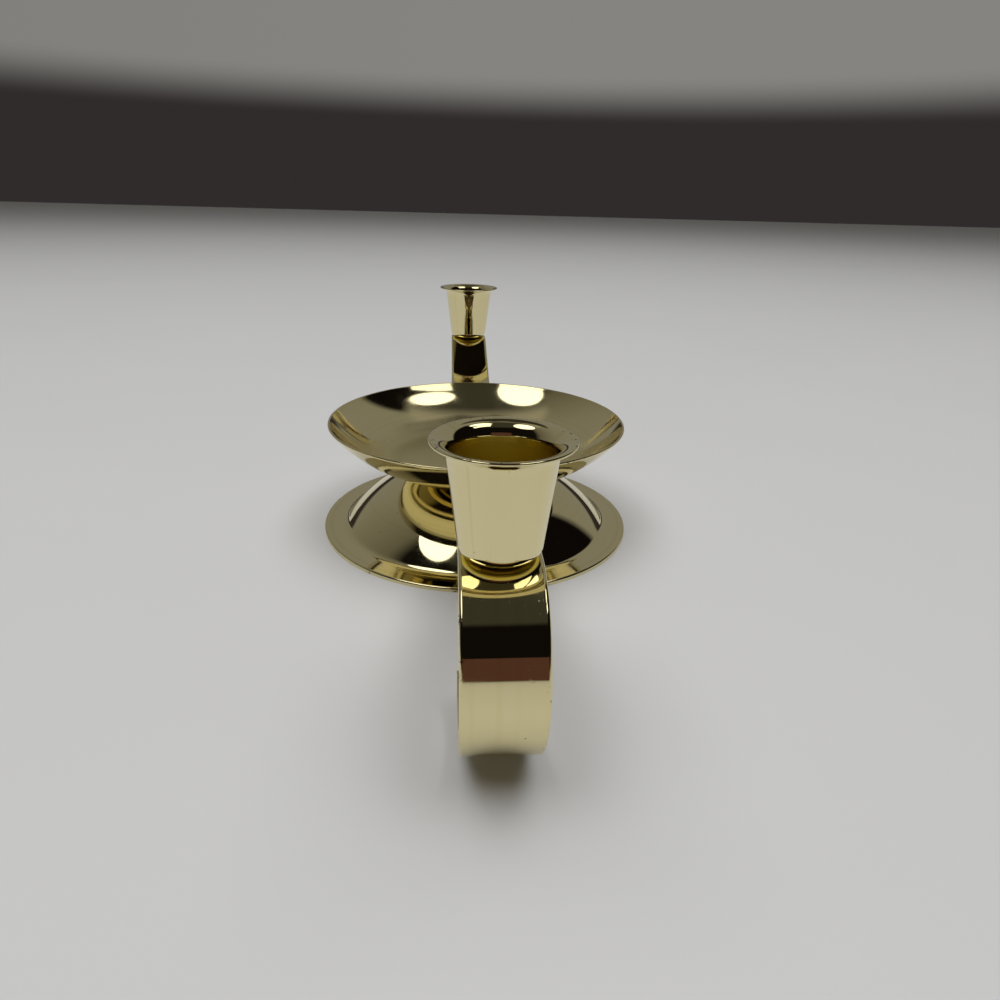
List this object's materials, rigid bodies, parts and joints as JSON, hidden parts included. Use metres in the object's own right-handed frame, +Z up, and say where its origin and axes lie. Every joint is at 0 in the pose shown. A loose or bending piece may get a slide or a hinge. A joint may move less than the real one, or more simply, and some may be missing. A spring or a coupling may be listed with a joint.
{
  "type": "low candle holder",
  "caption": "Low polished brass candle holder: domed round base, shallow centre dish for a pillar candle, and a flat bar curled over at each end under a flared taper-candle cup.",
  "frame": {"origin": "centre of the base's underside, on the table", "axes": "+X along the arms towards the front cup, which is the one nearest the camera in the picture; +Z up"},
  "size_m": [0.3222, 0.127, 0.0808],
  "materials": {
    "polished_brass": "mirror polished",
    "brass_screw": "bright plated",
    "zinc_steel": "zinc plated"
  },
  "bodies": {
    "base": {"base_foot": "polished_brass", "centre_screw": "brass_screw", "centre_washer": "zinc_steel", "centre_lock_washer": "zinc_steel", "centre_nut": "zinc_steel"},
    "arms": {"arm_bar": "polished_brass", "front_cup_screw": "brass_screw", "front_cup_washer": "zinc_steel", "front_cup_lock_washer": "zinc_steel", "front_cup_nut": "zinc_steel", "rear_cup_screw": "brass_screw", "rear_cup_washer": "zinc_steel", "rear_cup_lock_washer": "zinc_steel", "rear_cup_nut": "zinc_steel"},
    "dish": {"dish": "polished_brass"},
    "front_cup": {"front_cup": "polished_brass"},
    "rear_cup": {"rear_cup": "polished_brass"}
  },
  "joints": [
    {"name": "arm_swivel", "type": "hinge", "parent": "base", "child": "arms", "pos_m": [0, 0, 0.026], "axis": [0, 0, 1], "continuous": true},
    {"name": "dish_turn", "type": "hinge", "parent": "base", "child": "dish", "pos_m": [0, 0, 0.0275], "axis": [0, 0, 1], "continuous": true},
    {"name": "front_cup_turn", "type": "hinge", "parent": "arms", "child": "front_cup", "pos_m": [0.135, 0, 0.0535], "axis": [0, 0, 1], "continuous": true},
    {"name": "rear_cup_turn", "type": "hinge", "parent": "arms", "child": "rear_cup", "pos_m": [-0.135, 0, 0.0535], "axis": [0, 0, 1], "continuous": true}
  ]
}
